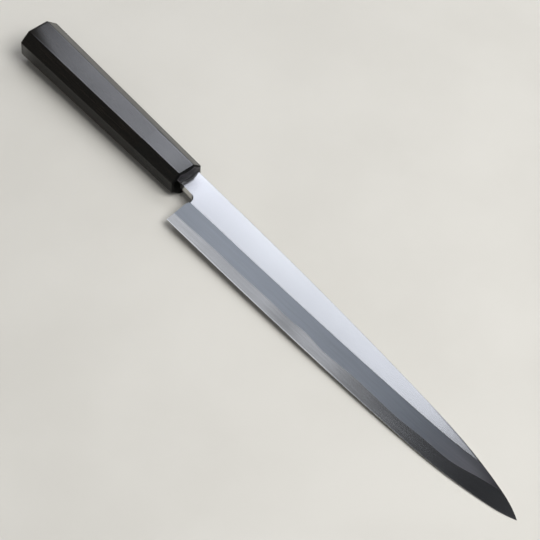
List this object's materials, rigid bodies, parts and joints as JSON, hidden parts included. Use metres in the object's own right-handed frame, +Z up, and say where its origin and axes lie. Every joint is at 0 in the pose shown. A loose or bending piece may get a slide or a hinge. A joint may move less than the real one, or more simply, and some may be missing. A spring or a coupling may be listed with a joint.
{
  "type": "yanagiba knife",
  "caption": "Long single-bevel slicing knife: laminated blade with a hollow back, and an octagonal dark wood handle with a horn ferrule.",
  "frame": {"origin": "middle of the footprint, on the table that the knife lies on", "axes": "+X towards the point, +Y from the cutting edge towards the spine, +Z up out of the bevelled face; the knife slopes 1.4 degrees down to its point"},
  "size_m": [0.4312, 0.04, 0.0235],
  "materials": {
    "soft_steel": "stone-ground satin flat, misty grey bevel",
    "hard_steel": "polished edge steel with fine grinding lines",
    "horn": "polished black buffalo horn",
    "ebony": "polished ebony, fine pores along the grain",
    "dowel_wood": "bare hardwood",
    "seal": "black sealing wax",
    "resin": "set resin"
  },
  "bodies": {
    "root": {"blade_body": "soft_steel", "edge_steel": "hard_steel", "ferrule": "horn", "handle_body": "ebony", "core_dowel": "dowel_wood", "mouth_seal": "seal", "tang_resin": "resin"}
  },
  "joints": []
}
